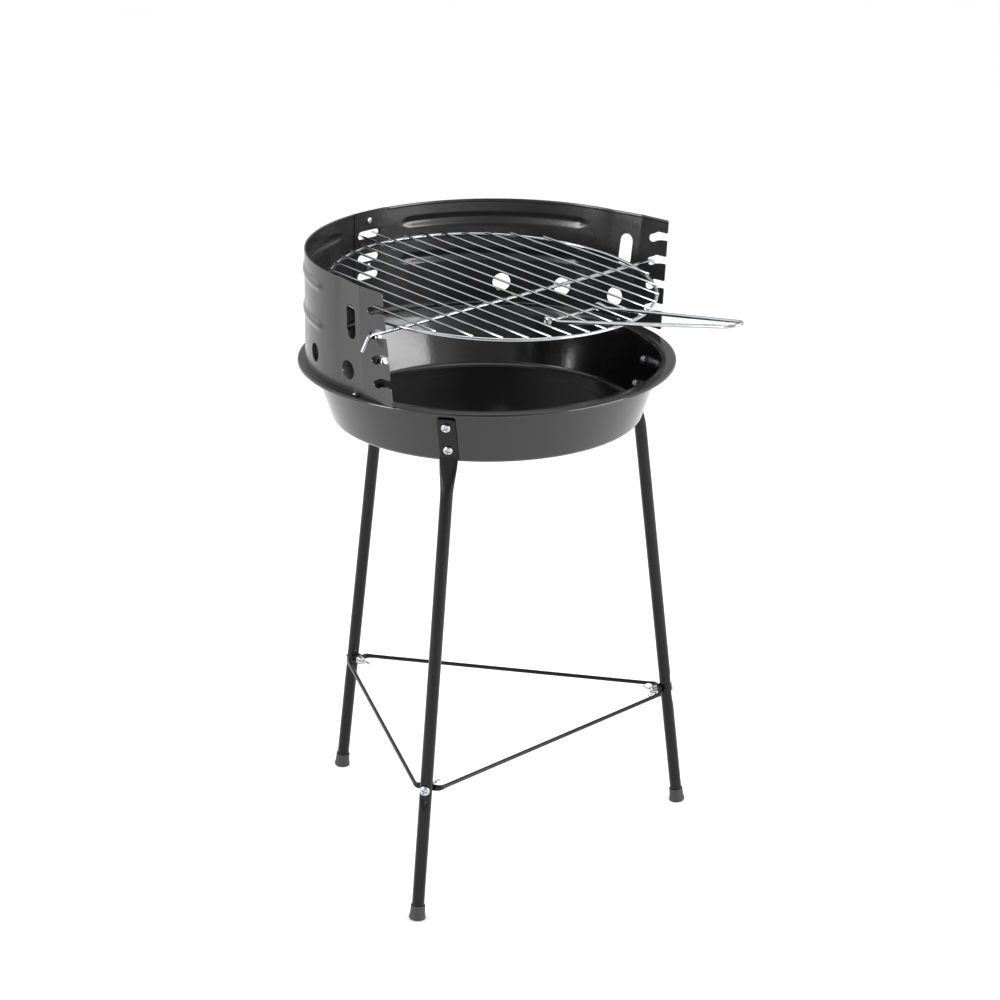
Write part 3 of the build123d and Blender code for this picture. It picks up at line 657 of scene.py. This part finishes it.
def head(at, d, r, h, shank_r, length, seg=40, turn=0.0):
    """Cross-recess pan screw, underside of the head at point at, shank along d."""
    up = d * -1
    xd = up.orthogonal().normalized()
    xd = Matrix.Rotation(turn, 3, up) @ xd
    yd = up.cross(xd).normalized()
    prof = [(r * 0.96, 0.0), (r, 0.18 * h), (r * 0.995, 0.38 * h), (r * 0.95, 0.6 * h), (r * 0.85, 0.8 * h), (r * 0.70, 0.92 * h)]
    top = [(r * q, h * (1.0 - 0.08 * (q / 0.70) ** 2)) for q in (0.64, 0.58, 0.52, 0.46, 0.40, 0.34, 0.28, 0.22, 0.16, 0.10, 0.05)]
    vs, fs, rows = [], [], []

    def deep(x, y):
        x, y = abs(x) / r, abs(y) / r
        q = 0.0
        for a, b in ((x, y), (y, x)):
            e = min(1, max(0, (0.115 - a) / 0.05 + 0.5)) * min(1, max(0, (0.60 - b) / 0.10 + 0.3))
            q = max(q, e)
        return q
    for (rr, hh) in prof + top:
        row = []
        for k in range(seg):
            a = 2 * pi * k / seg
            x, y = rr * cos(a), rr * sin(a)
            z = hh
            if rr <= r * 0.70:
                z -= deep(x, y) * h * 0.5
            row.append(len(vs))
            vs.append(at + xd * x + yd * y + up * z)
        rows.append(row)
    c = len(vs)
    vs.append(at + up * (h * 0.42))
    for i in range(len(rows) - 1):
        for k in range(seg):
            fs.append((rows[i][k], rows[i][(k + 1) % seg], rows[i + 1][(k + 1) % seg], rows[i + 1][k]))
    for k in range(seg):
        fs.append((rows[-1][k], rows[-1][(k + 1) % seg], c))
    # underside and shank with rolled thread ridges
    sh = []
    z = 0.0
    p = 0.8 if shank_r > 1.5 else 0.45
    sh.append((shank_r, 0.0))
    z = 1.0
    sh.append((shank_r, 1.0 if length > 3 else 0.3))
    z = sh[-1][1]
    while z + p < length - 0.4:
        sh += [(shank_r, z + 0.15 * p), (shank_r * 0.90, z + 0.5 * p), (shank_r, z + 0.85 * p)]
        z += p
    sh += [(shank_r, length - 0.4), (shank_r - 0.35, length), (0.0, length)]
    uv, uf = lathe([(r * 0.96, 0.0)] + sh, seg, at, d, xd)
    return merge([(vs, fs), (uv, uf)])


def hexnut(at, d, af, h, bore, turn=0.0):
    xd = d.orthogonal().normalized()
    xd = Matrix.Rotation(turn, 3, d) @ xd
    yd = d.cross(xd).normalized()
    R = af / 2 / cos(pi / 6)
    seg = 36
    vs, fs, rows = [], [], []

    def hexr(a):
        q = (a % (pi / 3)) - pi / 6
        return af / 2 / cos(q)
    for kind, hh in (("bore", 0.0), ("cham", 0.0), ("hex", 0.30), ("hex", h - 0.30), ("cham", h), ("bore", h)):
        row = []
        for k in range(seg):
            a = 2 * pi * k / seg
            rr = {"bore": bore, "cham": min(hexr(a), af / 2 * 1.02) * 0.98, "hex": hexr(a)}[kind]
            if kind == "hex":
                # corners are chamfered more than the flats
                dz = (hexr(a) - af / 2) * 0.45
                hz = hh + (dz if hh < h / 2 else -dz) * 0.6
            else:
                hz = hh
            row.append(len(vs))
            vs.append(at + d * hz + (xd * cos(a) + yd * sin(a)) * rr)
        rows.append(row)
    m = len(rows)
    for i in range(m):
        j = (i + 1) % m
        for k in range(seg):
            fs.append((rows[i][k], rows[i][(k + 1) % seg], rows[j][(k + 1) % seg], rows[j][k]))
    return vs, fs


leg_heads, leg_nuts, brace_heads = [], [], []
eyes = {}
for li, (name, azt, azf) in enumerate(LEGS):
    pt, pf, a, o = leg_frame(azt, azf)
    er = V(cos(radians(azt)), sin(radians(azt)), 0)
    et = V(-sin(radians(azt)), cos(radians(azt)), 0)
    wdir = V(er.x * sa, er.y * sa, ca)
    wn = V(er.x * ca, er.y * ca, -sa)
    side_v = a.cross(o).normalized()
    secs = []                                   # (centre, width axis, thickness axis, w, h, n)
    z = FOOT_Z + 3.0
    zs = [z, 20.0, 60.0, 90.0]
    zs += [BRACE_Z + q for q in (-26, -22, -19, -16, -14, -12, -10.5, -9, -7.5, -6, -4.5, -3, -1.5, 0, 1.5, 3, 4.5, 6, 7.5, 9, 10.5, 12, 14, 16, 19, 22)]
    zs += [180, 250, 320, 380, 405]
    for z in zs:
        secs.append((on_axis(pf, a, z), side_v, o, TUBE_R, TUBE_R, 2.0, z))
    tgt = er * (wall_r(TAB_LO) + (TAB_T / 2 + GAP) / ca) + V(0, 0, TAB_LO)
    N = 14
    for k in range(1, N + 1):
        u = k / N
        s = u * u * (3 - 2 * u)
        z = 411.0 + u * (TAB_LO - 1.5 - 411.0)
        c = on_axis(pf, a, z) + (tgt - on_axis(pf, a, TAB_LO)) * (u * u)
        wx = (side_v * (1 - u) + et * (u if side_v.dot(et) > 0 else -u)).normalized()
        hx = (o * (1 - u * 0.4) + wn * u * 0.4).normalized()
        secs.append((c, wx, hx, TUBE_R + (TAB_W / 2 - TUBE_R) * s, TUBE_R + (TAB_T / 2 - TUBE_R) * s, 2.0 + 2.4 * s, z))
    ets = et if side_v.dot(et) > 0 else et * -1
    tl = (TAB_HI - TAB_LO) / ca
    for d in (1.2, 2.6, 6.0, 12.0, 20.0, 28.0, tl - 4.0, tl - 3.0, tl - 2.2, tl - 1.4, tl - 0.7, tl - 0.25, tl):
        e = tl - d
        w = TAB_W / 2
        if e < 3.0:
            w = TAB_W / 2 - 3.0 + sqrt(max(0.0, 9.0 - (3.0 - e) ** 2))
        hh = TAB_T / 2 * (1.0 if e > 0.3 else 0.75)
        secs.append((tgt + wdir * d, ets, wn, w, hh, 5.0, 999))
    seg = 40
    vs, fs = [], []
    for (c, wx, hx, w, h, n, z) in secs:
        for k in range(seg):
            p, q = supers(w, h, n, k / seg)
            if z < 200 and n == 2.0:
                dz = z - BRACE_Z
                # tube pressed flat round the brace screw, with a pocket under the head
                out_ = q / TUBE_R
                if out_ > 0:
                    flat = exp(-(dz / 7.5) ** 4)
                    q = q - max(0.0, q - 4.3) * flat * 0.85
                    v_ = exp(-((dz + 9.5) / 5.2) ** 2) * exp(-(p / 2.6) ** 2)
                    q -= 2.9 * v_
                    v_ = exp(-((dz - 9.5) / 4.6) ** 2) * exp(-(p / 2.6) ** 2)
                    q -= 1.6 * v_
            vs.append(c + wx * p + hx * q)
    for i in range(len(secs) - 1):
        for k in range(seg):
            a0, b0 = i * seg + k, i * seg + (k + 1) % seg
            fs.append((a0, b0, b0 + seg, a0 + seg))
    fs.append(tuple(range(seg - 1, -1, -1)))
    fs.append(tuple((len(secs) - 1) * seg + k for k in range(seg)))
    make("leg_tube_" + name, vs, fs, "stand", "leg_" + name, M_LEG, sharp=50)
    for j, z in enumerate(LEG_SCREW_Z):
        w = er * wall_r(z) + V(0, 0, z)
        leg_heads.append(head(w + wn * (2 * GAP + TAB_T), wn * -1, 4.5, 2.6, 2.4, TAB_T + BOWL_T + 5.6, turn=0.5 + li * 0.9 + j * 0.6))
        leg_nuts.append(hexnut(w - wn * (BOWL_T + 0.35), wn * -1, 8.0, 3.6, 2.4, turn=0.3 * li + j))
    # rubber cap
    prof = [(TUBE_R + 0.02, 3.0 - FOOT_Z * 0), (TUBE_R + 0.02, 13.2), (6.35, 13.85), (6.75, 14.0), (6.95, 13.7), (7.0, 12.9), (7.02, 11.0), (7.12, 8.0), (7.3, 5.2), (7.5, 3.6), (7.85, 2.6), (7.95, 1.9), (7.9, 0.9), (7.6, 0.3), (7.0, 0.0), (0.0, 0.0)]
    cv, cf = lathe([(q[0], q[1]) for q in prof], 48, pf, a, side_v)
    inner = on_axis(pf, a, FOOT_Z + 3.0)
    cv = [V(q.x, q.y, max(q.z, 0.0)) for q in cv]
    c0 = len(cv)
    cv.append(pf + a * 3.0)
    for k in range(48):
        cf.append((k, (k + 1) % 48, c0))
    make("foot_rubber_" + name, cv, cf, "stand", "foot_cap_" + name, M_RUBBER, sharp=45)
    bc = on_axis(pf, a, BRACE_Z)
    brace_heads.append(head(bc + o * 4.6, o * -1, 4.75, 2.6, 2.4, 2 * TUBE_R - 1.35 + 2 * EYE_T + 9.0, turn=0.4 + li))
    t = V(0, 0, 1).cross(o).normalized()
    eyes[name] = (bc, o, t, o.cross(t).normalized(), a)
for nm, lst in (("leg_screws", leg_heads), ("leg_nuts", leg_nuts), ("brace_screws", brace_heads)):
    v, f = merge(lst)
    make(nm + "_detail", v, f, "stand", nm, M_ZINC, sharp=38)

# ------------------------------------------------------------------ brace rods
for A, B in (("front_left", "front_right"), ("front_right", "rear"), ("rear", "front_left")):
    ends = []
    for nm, other, lev in ((A, B, 0), (B, A, 1)):
        bc, o, t, up, a = eyes[nm]
        oc = eyes[other][0]
        sd = 1 if (oc - bc).dot(t) > 0 else -1
        c = bc - o * (TUBE_R + GAP + EYE_T / 2 + lev * (EYE_T + GAP))
        ends.append((c, t * sd, o, up))
    (c1, t1, o1, u1), (c2, t2, o2, u2) = ends
    # centreline with soft bends where the flat eyes run into the rod
    p1, p2 = c1 + t1 * TONGUE, c2 + t2 * TONGUE
    path = bend_path([c1 + t1 * 4.0, p1, p2, c2 + t2 * 4.0], 5.0, 6)
    fr = frames_along(path, up=u1)
    tot = [0.0]
    for i in range(1, len(path)):
        tot.append(tot[-1] + (path[i] - path[i - 1]).length)
    # extra sections along the flattened parts
    pts, ds = [], []
    L = tot[-1]

    def at_d(d):
        for i in range(1, len(path)):
            if d <= tot[i] or i == len(path) - 1:
                q = (d - tot[i - 1]) / max(1e-9, tot[i] - tot[i - 1])
                return path[i - 1].lerp(path[i], q)
    dl = [0, 1, 2, 3, 4, 5, 6, 7, 8, 9.5, 11, 13, 15, 18, 22]
    for d in dl + [L * q for q in (0.2, 0.35, 0.5, 0.65, 0.8)] + [L - d for d in reversed(dl)]:
        pts.append(at_d(d)); ds.append(d)
    fr = frames_along(pts, up=u1)
    vs, fs = [], []
    seg = 20
    for i, p in enumerate(pts):
        tt = fr[i][0]
        e = min(ds[i], L - ds[i])
        near1 = ds[i] < L / 2
        oo = o1 if near1 else o2
        # flat axis eases from the eye's plane to the rod
        h = oo - tt * oo.dot(tt)
        h.normalize()
        w = tt.cross(h).normalized()
        g = max(0.0, min(1.0, (e - 3.0) / 12.0))
        g = g * g * (3 - 2 * g)
        wide = lerp(3.1, ROD_R, g)
        thin = lerp(EYE_T / 2, ROD_R, g)
        nn = lerp(3.6, 2.0, g)
        for k in range(seg):
            a_, b_ = supers(wide, thin, nn, k / seg)
            vs.append(p + w * a_ + h * b_)
    for i in range(len(pts) - 1):
        for k in range(seg):
            a0, b0 = i * seg + k, i * seg + (k + 1) % seg
            fs.append((a0, b0, b0 + seg, a0 + seg))
    fs.append(tuple(range(seg - 1, -1, -1)))
    fs.append(tuple((len(pts) - 1) * seg + k for k in range(seg)))
    parts = [(vs, fs)]
    for (c, t_, o_, u_) in ends:
        b = 2.62
        r = EYE_R
        hh = EYE_T / 2
        prof = [(b, -hh), (r - 0.4, -hh), (r - 0.1, -hh + 0.2), (r, -hh + 0.5), (r, hh - 0.5), (r - 0.1, hh - 0.2), (r - 0.4, hh), (b, hh)]
        parts.append(lathe(prof, 40, c, o_, t_, close=True))
    v, f = merge(parts)
    nm = "brace_rod_%s_%s" % (A, B)
    make("brace_wire_%s_%s" % (A, B), v, f, "stand", nm, M_ROD, sharp=50)

# ------------------------------------------------------------------ wing nuts
for name, (bc, o, t, up, a) in eyes.items():
    d = o * -1
    base = bc + d * (TUBE_R + 2 * (EYE_T + GAP) + GAP + 0.35)
    b = 2.4 + RUN
    prof = [(b, 0.0), (4.3, 0.0), (4.6, 0.3), (4.5, 1.2), (4.1, 3.6), (3.85, 5.6), (3.6, 6.2), (3.2, 6.4), (b + 0.25, 6.4), (b, 6.15)]
    parts = [lathe(prof, 40, base, d, t, close=True)]
    tilt = radians(25)
    for sgn in (1, -1):
        wd = (t * (sgn * cos(tilt)) + up * (sgn * sin(tilt))).normalized()
        nr = d.cross(wd).normalized()
        # wing outline in (out, along) from hub to rounded ear
        vs, fs = [], []
        rings = []
        cx, cz_ = 6.2, 7.2
        seg = 28
        for lv, (sc, th) in enumerate(((1.0, 0.0), (0.985, 0.45), (0.90, 0.78), (0.70, 0.90), (0.35, 0.80), (0.0, 0.72))):
            row = []
            for k in range(seg):
                an = 2 * pi * k / seg
                ex = 3.75 * cos(an)
                ez = 4.65 * sin(an)
                ox = cx + ex * sc + 0.10 * (ez * sc)
                oz = cz_ + ez * sc
                row.append((ox, oz, th))
            rings.append(row)
        allr = [[(x_, z_, th) for (x_, z_, th) in rw] for rw in rings]
        mir = [[(x_, z_, -th) for (x_, z_, th) in rw] for rw in rings[1:]]
        idx = {}
        def addrow(rw):
            st = len(vs)
            for (x_, z_, th) in rw:
                vs.append(base + wd * x_ + d * z_ + nr * th)
            return list(range(st, st + seg))
        R0 = addrow(allr[0])
        prev = R0
        for rw in allr[1:]:
            cur = addrow(rw)
            for k in range(seg):
                fs.append((prev[k], prev[(k + 1) % seg], cur[(k + 1) % seg], cur[k]))
            prev = cur
        prev = R0
        for rw in mir:
            cur = addrow(rw)
            for k in range(seg):
                fs.append((prev[(k + 1) % seg], prev[k], cur[k], cur[(k + 1) % seg]))
            prev = cur
        parts.append((vs, fs))
    v, f = merge(parts)
    make("wing_nut_cast_" + name, v, f, "wing_nut_" + name, "wing_nut_" + name, M_ZINC, sharp=45)

# ------------------------------------------------------------------ windshield fasteners
sv, nv = [], []
for z in SEAM_Z:
    cx, cy, R, P1, K, E = ws_geo(z)
    yi = cy + R
    sv.append(head(V(cx + SEAM_DX, yi - GAP - 0.1, z), V(0, 1, 0), 3.6, 2.0, 1.95, 2 * WS_T + 6.5, turn=0.5 + z))
    nv.append(hexnut(V(cx + SEAM_DX, yi + 2 * WS_T + 2 * GAP + 0.05, z), V(0, 1, 0), 7.0, 2.8, 1.95, turn=z))
v, f = merge(sv)
make("seam_screws_detail", v, f, "stand", "windshield_seam_screws", M_ZINC, sharp=38)
v, f = merge(nv)
make("seam_nuts_detail", v, f, "stand", "windshield_seam_nuts", M_ZINC, sharp=38)
sv, nv = [], []
for side, off0 in ((1, 0.0), (-1, WS_T + GAP)):
    for deg in (27.0, 98.0):
        cx, cy, R, P1, K, E = ws_geo(WS_BOT)
        if deg < WS_ARC:
            n = V(side * sin(radians(deg)), cos(radians(deg)), 0)
            q = V(cx, cy, WS_BOT) + n * (R + off0)
        else:
            n = V(side, 0, 0)
            q = V(cx + side * (173.3 + off0), -8.0, WS_BOT)
        hc = q - n * 4.6 if side > 0 else q + n * 3.15
        rr = hypot(hc.x, hc.y)
        if rr > RIM_R - 2.9:
            hc = V(hc.x * (RIM_R - 2.9) / rr, hc.y * (RIM_R - 2.9) / rr, hc.z)
        sv.append(head(V(hc.x, hc.y, WS_BOT + 0.8 + GAP), V(0, 0, -1), 1.9, 1.3, 1.0, 0.8 + BOWL_T + 0.3 + 2.6, turn=deg))
        nv.append(hexnut(V(hc.x, hc.y, RIM_Z - BOWL_T - 0.05), V(0, 0, -1), 3.6, 1.6, 1.0, turn=deg))
v, f = merge(sv)
make("foot_screws_detail", v, f, "stand", "windshield_foot_screws", M_ZINC, sharp=38)
v, f = merge(nv)
make("foot_nuts_detail", v, f, "stand", "windshield_foot_nuts", M_ZINC, sharp=38)

# ------------------------------------------------------------------ cooking grid
gt = atan2(TILT, 1)
GM = Matrix.Translation(V(*GC)) @ Matrix.Rotation(gt, 4, "X")


def g(x, y, z):
    return GM @ V(x, y, z)


ring_pts = [g(RING_R * cos(2 * pi * i / 200), RING_R * sin(2 * pi * i / 200), 0) for i in range(200)]
v, f = sweep(ring_pts, RING_W, 18, closed=True, up=Z)
make("grid_ring_wire", v, f, "grid", "grid_ring", M_CHROME)
bz = RING_W + BAR_W - 0.1
parts = []
for k in range(BAR_N):
    x = (k - (BAR_N - 1) / 2) * BAR_P
    half = sqrt(RING_R ** 2 - x * x) + 2.6
    y1 = half
    if k in (BAR_N // 2 - 1, BAR_N // 2):
        y1 = 179.2 - GC[1]
    ys = [-half, -half * 0.5, 0, half * 0.5, y1]
    parts.append(sweep([g(x, q, bz) for q in ys], BAR_W, 14, up=Z))
    # weld fillets where the bar sits on the ring
    for s in (-1, 1):
        yc = s * sqrt(RING_R ** 2 - x * x)
        vs, fs = [], []
        seg, rn = 14, 7
        wp = []
        for i in range(rn + 1):
            a = pi * i / rn - pi / 2
            wp.append((1.75 * cos(a), 1.5 * sin(a)))
        wp[0] = (0, wp[0][1]); wp[-1] = (0, wp[-1][1])
        vv, ff = lathe(wp, seg, V(0, 0, 0), Z, X)
        vv = [g(x + q.x, yc + q.y * 1.15, bz - 1.45 + q.z * 0.75) for q in vv]
        parts.append((vv, ff))
v, f = merge(parts)
make("grid_bars_wire", v, f, "grid", "grid_bars", M_CHROME)
cz_ = -(RING_W + CROSS_W - 0.1)
cyy = CROSS_Y - GC[1]
pts = [g(-(CROSS_HALF + 4.5), cyy, cz_ - 14.0), g(-CROSS_HALF + 3.6, cyy, cz_), g(0, cyy, cz_), g(CROSS_HALF, cyy, cz_), g(CROSS_HALF + 11, cyy, cz_ - 12.5)]
path = bend_path([pts[0], pts[1], pts[3], pts[4]], 4.5, 8)
mid = len(path) // 2
path = path[:mid] + [g(q, cyy, cz_) for q in (-120, -60, 0, 60, 120)] + path[mid:]
v, f = sweep(path, CROSS_W, 18, up=Z)
make("grid_cross_wire", v, f, "grid", "grid_cross_bar", M_CHROME)
pz = bz - BAR_W - PIV_W + 0.1
pyy = PIV_Y - GC[1]
v, f = sweep([g(q, pyy, pz) for q in (-PIV_HALF, -20, 0, 20, PIV_HALF)], PIV_W, 16, up=Z)
make("handle_pivot_detail", v, f, "grid", "handle_pivot_wire", M_CHROME)

# ------------------------------------------------------------------ handle
pc = g(0, pyy, pz)
em = PIV_W + RUN + H_W
hd = V(0, -cos(H_RISE), sin(H_RISE))
hn = V(0, sin(H_RISE), cos(H_RISE))


def H(x, s, n):
    return V(pc.x + x, pc.y, pc.z) + hd * s + hn * n


L0 = H_LEN - H_END


def eye_and_arm(sd):
    """Open end of the eye, once round the pivot wire, then out along the arm."""
    out = []
    # the eye is a coil: its last turn runs out tangentially into the arm through a soft bend
    n = 26
    a1 = radians(58)
    for i in range(n + 1):
        a = radians(-285) + (a1 + radians(285)) * i / n
        sh = 1.5 * (1 - i / n)                    # the coil moves outwards along the wire
        out.append(H(sd * (H_EYE + sh), -em * cos(a), em * sin(a)))
    # soft reverse bend from the top of the coil down to the pivot's level
    p0 = out[-1]
    t0 = (out[-1] - out[-2]).normalized()
    s1 = 15.0
    x1 = H_EYE - (H_EYE - H_END) * s1 / L0
    p3 = H(sd * x1, s1, 0)
    t1 = (H(sd * H_END, L0, 0) - p3).normalized()
    for i in range(1, 10):
        t = i / 9
        q1, q2 = p0 + t0 * 4.2, p3 - t1 * 5.0
        out.append(p0 * (1 - t) ** 3 + q1 * (3 * t * (1 - t) ** 2) + q2 * (3 * t * t * (1 - t)) + p3 * t ** 3)
    for q in (0.3, 0.5, 0.7, 0.9):
        out.append(H(sd * (H_EYE - (H_EYE - H_END) * q), L0 * q, 0))
    return out


path = eye_and_arm(-1)
for i in range(15):
    an = pi * i / 14
    path.append(H(-H_END * cos(an), L0 + H_END * sin(an), 0))
path += list(reversed(eye_and_arm(1)))
v, f = sweep(path, H_W, 18, up=X)
make("grid_handle_wire", v, f, "handle", "grid_handle", M_CHROME)

# ------------------------------------------------------------------ floor, light, camera
fs_ = 6.0
me = bpy.data.meshes.new("floor")
me.from_pydata([(-fs_, -fs_, 0), (fs_, -fs_, 0), (fs_, fs_, 0), (-fs_, fs_, 0)], [], [(0, 1, 2, 3)])
floor = bpy.data.objects.new("floor", me)
bpy.context.scene.collection.objects.link(floor)
mf, ntf, bf = principled("floor_white")
_nf = noise_node(ntf, 3.0, 2.0, 0.5)
_cf = ramp(ntf, _nf.outputs["Fac"], [(0.3, (0.86, 0.86, 0.86)), (0.7, (0.88, 0.88, 0.88))])
ntf.links.new(_cf.outputs["Color"], bf.inputs["Base Color"])
bf.inputs["Roughness"].default_value = 0.9
bf.inputs["Specular IOR Level"].default_value = 0.1
me.materials.append(mf)

AZ = radians(-44.0)
CA, SA = cos(AZ), sin(AZ)


def row(x, y, z):
    """Camera-side frame (x right, y away) to the row frame, in metres."""
    return V((x * CA - y * SA + SX) * MM, (x * SA + y * CA + SY) * MM, z * MM)


def rowd(x, y, z):
    return V(x * CA - y * SA, x * SA + y * CA, z)


def area(name, loc, target, size, size_y, power, col=(1, 1, 1)):
    li = bpy.data.lights.new(name, "AREA")
    li.shape = "RECTANGLE"
    li.size, li.size_y = size, size_y
    li.energy = power
    li.color = col
    ob = bpy.data.objects.new(name, li)
    bpy.context.scene.collection.objects.link(ob)
    ob.location = row(*loc)
    d = (row(*target) - ob.location)
    ob.rotation_euler = d.to_track_quat("-Z", "Y").to_euler()
    return ob


area("key_left", (-1700, -900, 1100), (0, 0, 420), 0.5, 1.5, 34)
area("box_right", (1500, -650, 740), (0, 60, 470), 1.15, 0.7, 27)
area("top", (100, 500, 2100), (0, 0, 400), 1.0, 0.8, 10)

bpy.context.scene.view_settings.view_transform = "Standard"
w = bpy.data.worlds.new("studio")
bpy.context.scene.world = w
w.use_nodes = True
bg = w.node_tree.nodes["Background"]
# a studio with lighter walls at the sides than in front and behind
wt = w.node_tree
_tc = wt.nodes.new("ShaderNodeTexCoord")
_dp = wt.nodes.new("ShaderNodeVectorMath")
_dp.operation = "DOT_PRODUCT"
_dp.inputs[1].default_value = tuple(rowd(1, 0, 0))
wt.links.new(_tc.outputs["Generated"], _dp.inputs[0])
_ab = wt.nodes.new("ShaderNodeMath")
_ab.operation = "ABSOLUTE"
wt.links.new(_dp.outputs["Value"], _ab.inputs[0])
_wr = ramp(wt, _ab.outputs[0], [(0.12, (0.30, 0.30, 0.30)), (0.75, (1.0, 1.0, 1.0))])
_wr.color_ramp.interpolation = "EASE"
wt.links.new(_wr.outputs["Color"], bg.inputs["Color"])
bg.inputs["Strength"].default_value = 1.8

F_PX, D_, H_, PITCH, ROLL, XC = 2750.862, 2500.262, 1284.280, 0.35718776, 0.00445028, 12.9938
cam = bpy.data.cameras.new("camera")
cam.sensor_width = 36.0
cam.lens = F_PX * 36.0 / 1000.0
cam.clip_end = 50
co = bpy.data.objects.new("camera", cam)
bpy.context.scene.collection.objects.link(co)
fwd = rowd(0, cos(PITCH), -sin(PITCH))
rt = rowd(1, 0, 0)
up = rowd(0, sin(PITCH), cos(PITCH))
r2 = rt * cos(ROLL) + up * sin(ROLL)
u2 = up * cos(ROLL) - rt * sin(ROLL)
m = Matrix((r2, u2, fwd * -1)).transposed().to_4x4()
m.translation = row(XC, -D_, H_)
co.matrix_world = m
bpy.context.scene.camera = co
